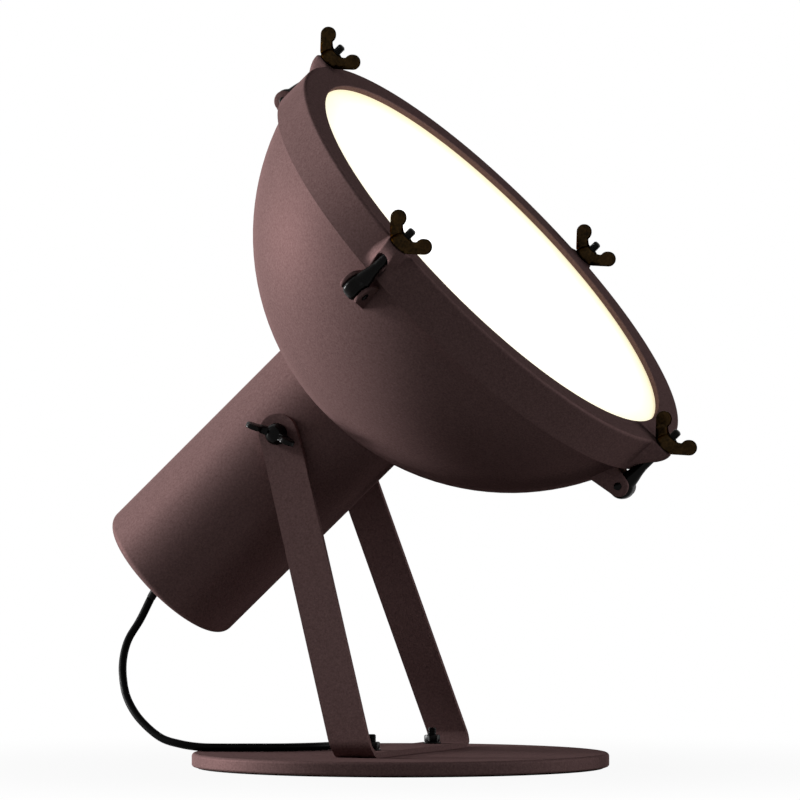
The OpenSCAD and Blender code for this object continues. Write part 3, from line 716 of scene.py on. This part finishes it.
ring_nuts, tilt_nuts = [], []
for name, y, z in (("top", 0, BOLT_R), ("near", -BOLT_R, 0), ("bottom", 0, -BOLT_R), ("far", BOLT_R, 0)):
    seat = HEAD @ Matrix.Translation((FRONT, y, z)) @ ALONG_X
    nut = make_wing_nut("ring_wing_nut_" + name, RING_THREAD_D, seat)
    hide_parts("wing_nut_" + name)
    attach(nut, "wing_nut_" + name)
    ring_nuts.append(nut)
for name, side in (("near", -1), ("far", 1)):
    seat = (Matrix.Translation(PIVOT + Vector((0, side * ARM_OUT, 0)))
            @ Matrix.Rotation(math.radians(PIVOT_WING_TURN), 4, "Y")
            @ Matrix.Rotation(math.radians(-90 * side), 4, "X"))
    nut = make_wing_nut("tilt_wing_nut_" + name, STUD_D, seat, blind=True)
    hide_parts("pivot_wing_nut_" + name)
    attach(nut, "pivot_wing_nut_" + name)
    tilt_nuts.append(nut)
eye_bolts = make_eye_bolts()
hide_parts("eye_bolts")
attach(eye_bolts, "head")
studs = make_studs()
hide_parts("pivot_studs")
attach(studs, "head")
foot_bolts = make_foot_bolts()
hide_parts("yoke_bolts")
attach(foot_bolts, "stand")
foot_nuts = make_foot_nuts()
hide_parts("yoke_nuts")
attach(foot_nuts, "stand")


# Softened edges on the turned, bent and moulded pieces that stay as they come, with flat faces kept flat

EDGES_MM = {"base_disc": 0.5, "yoke": 0.7, "friction_washers": 0.2, "pivot_bosses": 0.4,
            "yoke_washers": 0.25, "plug_blades": 0.3, "lampholder": 1.0, "terminal_block": 0.8}
for name, obj in nodes.items():
    if name in EDGES_MM:
        weld = obj.modifiers.new("weld", "WELD")
        weld.merge_threshold = 0.01 * MM
        edge = obj.modifiers.new("edge", "BEVEL")
        edge.width = EDGES_MM[name] * MM
        edge.segments = 3
        edge.limit_method = "ANGLE"
        edge.angle_limit = math.radians(40)
        flat = obj.modifiers.new("flat", "WEIGHTED_NORMAL")
        flat.weight = 100
    for face in obj.data.polygons:
        face.use_smooth = True


# Materials

def linear(hex_colour):
    """sRGB hex to linear RGBA."""
    parts = [int(hex_colour[i:i + 2], 16) / 255 for i in (1, 3, 5)]
    return (*[c / 12.92 if c <= 0.04045 else ((c + 0.055) / 1.055) ** 2.4 for c in parts], 1)


def add(tree, kind, inputs=None, **settings):
    """Adds a shader node with its settings; each input is a value, or a socket to link."""
    node = tree.nodes.new(kind)
    for name, value in settings.items():
        setattr(node, name, value)
    for key, value in (inputs or {}).items():
        if isinstance(value, bpy.types.NodeSocket):
            tree.links.new(value, node.inputs[key])
        else:
            node.inputs[key].default_value = value
    return node


def new_material(name, **sockets):
    """A material with its shader's constant sockets set; returns it, its node tree and its shader."""
    material = bpy.data.materials.new(name)
    material.use_nodes = True
    shader = material.node_tree.nodes["Principled BSDF"]
    for key, value in sockets.items():
        shader.inputs[key.replace("_", " ")].default_value = value
    return material, material.node_tree, shader


def per_mm(size):
    """Texture scale, in cycles per metre, for a feature of that many millimetres."""
    return 1000 / size


def mottled(name, dark, light, patch_mm, grain_mm, roughness, bump_mm, **sockets):
    """A surface whose colour drifts in patches and whose grain shows in colour, gloss and relief."""
    material, tree, shader = new_material(name, **sockets)
    where = add(tree, "ShaderNodeTexCoord").outputs["Object"]
    patch = add(tree, "ShaderNodeTexNoise", {"Vector": where, "Scale": per_mm(patch_mm), "Detail": 3})
    grain = add(tree, "ShaderNodeTexNoise", {"Vector": where, "Scale": per_mm(grain_mm), "Detail": 2})
    blend = add(tree, "ShaderNodeMath", {0: patch.outputs["Fac"], 1: grain.outputs["Fac"]}, operation="ADD")
    spread = add(tree, "ShaderNodeMapRange", {"Value": blend.outputs[0], "From Min": 0.7, "From Max": 1.3})
    ramp = add(tree, "ShaderNodeValToRGB", {"Fac": spread.outputs[0]})
    ramp.color_ramp.elements[0].color = linear(dark)
    ramp.color_ramp.elements[1].color = linear(light)
    gloss = add(tree, "ShaderNodeMapRange", {"Value": grain.outputs["Fac"], "From Min": 0.3, "From Max": 0.7,
                                             "To Min": roughness[0], "To Max": roughness[1]})
    relief = add(tree, "ShaderNodeBump", {"Height": grain.outputs["Fac"], "Distance": bump_mm * MM,
                                          "Strength": 1})
    tree.links.new(ramp.outputs["Color"], shader.inputs["Base Color"])
    tree.links.new(gloss.outputs[0], shader.inputs["Roughness"])
    tree.links.new(relief.outputs["Normal"], shader.inputs["Normal"])
    return material


# Stoved structure paint on spun steel: aubergine brown with a sandy grain, and a little metal flake
# in it that gives a broad sheen of the paint's own colour. Such grit is a few tenths of a millimetre;
# it is drawn coarser, in two sizes, so that it shows
paint = mottled("stoved_structure_paint", "#6d5554", "#826766", 1.7, 1.1, (0.45, 0.55), 0.1,
                Specular_IOR_Level=0.0, Metallic=0.1, Specular_Tint=linear("#303030"))
# Blackened and waxed steel: near black and smooth
blackened = mottled("blackened_waxed_steel", "#040303", "#0a0807", 9, 2.2, (0.22, 0.32), 0.02,
                    Specular_IOR_Level=0.06)
# Blackened steel castings of the ring's wing nuts: almost black, with a painted reflection of the glass's
# warm glow as an olive gold cast in their colour and edge tint
glow_tinted_steel = mottled("blackened_steel_with_painted_glow", "#130e08", "#2b1f10", 9, 1.6, (0.3, 0.4), 0.02, Metallic=1.0,
                 Specular_Tint=linear("#6b5a38"))
# Zinc-plated steel: pale grey with faint spangle
zinc = mottled("zinc_plated_steel", "#8d9094", "#b4b6b9", 4, 0.9, (0.28, 0.42), 0.01, Metallic=1.0)
# Drawn brass: warm yellow with a dull skin
brass = mottled("drawn_brass", "#a5813c", "#c9a55a", 5, 0.8, (0.25, 0.4), 0.008, Metallic=1.0)
# Glazed steatite: cream white with a soft gloss
steatite = mottled("glazed_steatite", "#dcd6c6", "#ece8dc", 12, 2.5, (0.15, 0.3), 0.02)
# Moulded polyamide: black with a faint spark-eroded texture
polyamide = mottled("moulded_polyamide", "#0a0a0a", "#131212", 14, 0.7, (0.42, 0.55), 0.02,
                    Specular_IOR_Level=0.06)
# PVC cord jacket: black and softly glossy, with a slight orange peel
jacket = mottled("pvc_cord_jacket", "#030303", "#070707", 20, 1.8, (0.35, 0.45), 0.015,
                 Specular_IOR_Level=0.03)
# Moulded rubber: dark grey and dull
rubber = mottled("moulded_rubber", "#242323", "#343232", 10, 0.8, (0.7, 0.85), 0.02)
# Pressed fibre washer: dark brown and dry
fibre = mottled("pressed_fibre", "#211c17", "#352d25", 5, 0.6, (0.75, 0.9), 0.03)
# Pressed wool felt: charcoal, dull and fibrous
felt = mottled("pressed_wool_felt", "#141111", "#2b2626", 6, 0.6, (0.9, 1.0), 0.12, Specular_IOR_Level=0.05)
# Woven nylon hook-and-loop band: black, dull and slightly rough
band_cloth = mottled("woven_nylon_band", "#0a0a0b", "#161619", 3, 0.5, (0.7, 0.85), 0.08,
                     Specular_IOR_Level=0.05)
# Frosted bulb glass: milky and faintly warm
frosted = mottled("frosted_bulb_glass", "#f2ecdc", "#fbf8ee", 20, 0.8, (0.45, 0.55), 0.005,
                  Transmission_Weight=0.3)


def make_opal_glass():
    """Flashed opal glass lit from behind: even white, turning cream at its edge."""
    cloud_mm, wobble_mm, cream_w, behind_lip = 45, 4, 40, 8
    material, tree, shader = new_material("flashed_opal_glass", Emission_Strength=1.0)
    where = add(tree, "ShaderNodeTexCoord").outputs["Object"]
    from_pivot = add(tree, "ShaderNodeVectorMath", {0: where, 1: PIVOT * MM}, operation="SUBTRACT")
    off_axis = add(tree, "ShaderNodeVectorMath", {0: from_pivot.outputs[0], 1: HEAD_AXIS},
                   operation="CROSS_PRODUCT")
    radius = add(tree, "ShaderNodeVectorMath", {0: off_axis.outputs[0]}, operation="LENGTH")
    cloud = add(tree, "ShaderNodeTexNoise", {"Vector": where, "Scale": per_mm(cloud_mm), "Detail": 2})
    wobble = add(tree, "ShaderNodeMath", {0: cloud.outputs["Fac"], 1: wobble_mm * MM,
                                          2: radius.outputs["Value"]}, operation="MULTIPLY_ADD")
    edge = add(tree, "ShaderNodeMapRange", {"Value": wobble.outputs[0],
                                            "From Min": (OPENING_R - cream_w) * MM,
                                            "From Max": (OPENING_R + behind_lip) * MM},
               interpolation_type="SMOOTHSTEP")
    ramp = add(tree, "ShaderNodeValToRGB", {"Fac": edge.outputs[0]})
    ramp.color_ramp.elements[0].color = linear("#ffffff")
    ramp.color_ramp.elements[1].color = linear("#efe3bd")
    tree.links.new(ramp.outputs["Color"], shader.inputs["Emission Color"])
    tree.links.new(ramp.outputs["Color"], shader.inputs["Base Color"])
    gloss = add(tree, "ShaderNodeMapRange", {"Value": cloud.outputs["Fac"], "To Min": 0.3, "To Max": 0.4})
    tree.links.new(gloss.outputs[0], shader.inputs["Roughness"])
    return material


opal = make_opal_glass()

# The nodes that stay as they come, by finish
FINISHES = {
    paint: ["base_disc", "yoke", "bowl"],
    blackened: ["yoke_washers"],
    zinc: ["pivot_bosses", "mount_plate", "housing_screws", "housing_nuts"],
    brass: ["holder_contact", "bulb_cap", "plug_blades"],
    steatite: ["lampholder", "terminal_block"],
    polyamide: ["gland_nut"],
    jacket: ["inner_lead"],
    rubber: ["glass_gasket"],
    fibre: ["friction_washers"],
    felt: ["base_pad"],
    frosted: ["bulb_glass"],
    opal: ["diffuser_glass"],
}
for material, names in FINISHES.items():
    for name in names:
        nodes[name].data.materials.clear()
        nodes[name].data.materials.append(material)

# The pieces made here, by finish and by the record's name for it
DRESSED = [
    (paint, "paint", [can, ring, ears]),
    (blackened, "blackened_steel", [pins, eye_bolts, studs, foot_bolts, foot_nuts, *tilt_nuts]),
    # The ring's wing nuts: blackened steel with a painted olive gold reflection of the glass's glow
    (glow_tinted_steel, "blackened_steel", ring_nuts),
    (jacket, "cord_jacket", [cord]),
    (polyamide, "black_plastic", [boot, plug]),
    (band_cloth, "tie_fabric", [tie]),
]
for material, slot, pieces in DRESSED:
    for obj in pieces:
        obj.data.materials.append(material)


# Studio: pale floor, white surroundings, a soft key light from the left

# The floor in millimetres, just clear of the pad; the lights' aim in metres
FLOOR_HALF = 6000
FLOOR_DROP = 0.2
LAMP_AIM = Vector((0, 0, 0.3))


def white_rays(tree):
    """1 for the rays that show the surroundings: straight to the camera, mirrored or through glass."""
    light_path = add(tree, "ShaderNodeLightPath").outputs
    seen = add(tree, "ShaderNodeMath", {0: light_path["Is Camera Ray"], 1: light_path["Is Glossy Ray"]},
               operation="MAXIMUM")
    return add(tree, "ShaderNodeMath", {0: seen.outputs[0], 1: light_path["Is Transmission Ray"]},
               operation="MAXIMUM").outputs[0]


def make_floor():
    """Paper floor that fades to white away from the lamp; near it some of the shaded paper shows."""
    bm = bmesh.new()
    bmesh.ops.create_grid(bm, x_segments=1, y_segments=1, size=FLOOR_HALF)
    floor = add_object("floor", bm, Matrix.Translation((0, 0, -FLOOR_DROP)))
    material, tree, shader = new_material("white_paper_floor", Base_Color=linear("#8c8a88"), Roughness=0.9,
                                          Specular_IOR_Level=0)
    where = add(tree, "ShaderNodeTexCoord").outputs["Object"]
    away = add(tree, "ShaderNodeVectorMath", {0: where}, operation="LENGTH")
    lift = add(tree, "ShaderNodeMapRange", {"Value": away.outputs["Value"], "From Min": 0.15, "From Max": 0.6,
                                            "To Min": 0.94, "To Max": 1.0}, interpolation_type="SMOOTHSTEP")
    share = add(tree, "ShaderNodeMath", {0: white_rays(tree), 1: lift.outputs[0]}, operation="MULTIPLY")
    white = add(tree, "ShaderNodeEmission", {"Strength": 1.0})
    mix = add(tree, "ShaderNodeMixShader", {0: share.outputs[0], 1: shader.outputs[0], 2: white.outputs[0]})
    tree.links.new(mix.outputs[0], tree.nodes["Material Output"].inputs["Surface"])
    floor.data.materials.append(material)


def make_world():
    """White surroundings that are seen and mirrored, but light no matt surface."""
    world = bpy.data.worlds.new("white_studio")
    world.use_nodes = True
    tree = world.node_tree
    tree.links.new(white_rays(tree), tree.nodes["Background"].inputs["Strength"])
    tree.nodes["Background"].inputs["Color"].default_value = (1, 1, 1, 1)
    bpy.context.scene.world = world


def add_light(name, place, size, power):
    """A square studio light, place and size in metres and power in watts, aimed at the floor lamp."""
    light = bpy.data.lights.new(name, "AREA")
    light.size = size
    light.energy = power
    obj = bpy.data.objects.new(name, light)
    obj.location = place
    obj.rotation_euler = (Vector(place) - LAMP_AIM).to_track_quat("Z", "Y").to_euler()
    bpy.context.scene.collection.objects.link(obj)


make_floor()
make_world()
add_light("key_low", (-3.0, 0, 0.36), 0.7, 104)
add_light("key_high", (-2.69, -0.72, 1.42), 0.7, 37)
add_light("fill_right", (2.56, 1.48, 0.82), 1.5, 22)
add_light("fill_front", (2.25, -1.3, 1.8), 1.5, 6)
bpy.context.scene.view_settings.view_transform = "Standard"
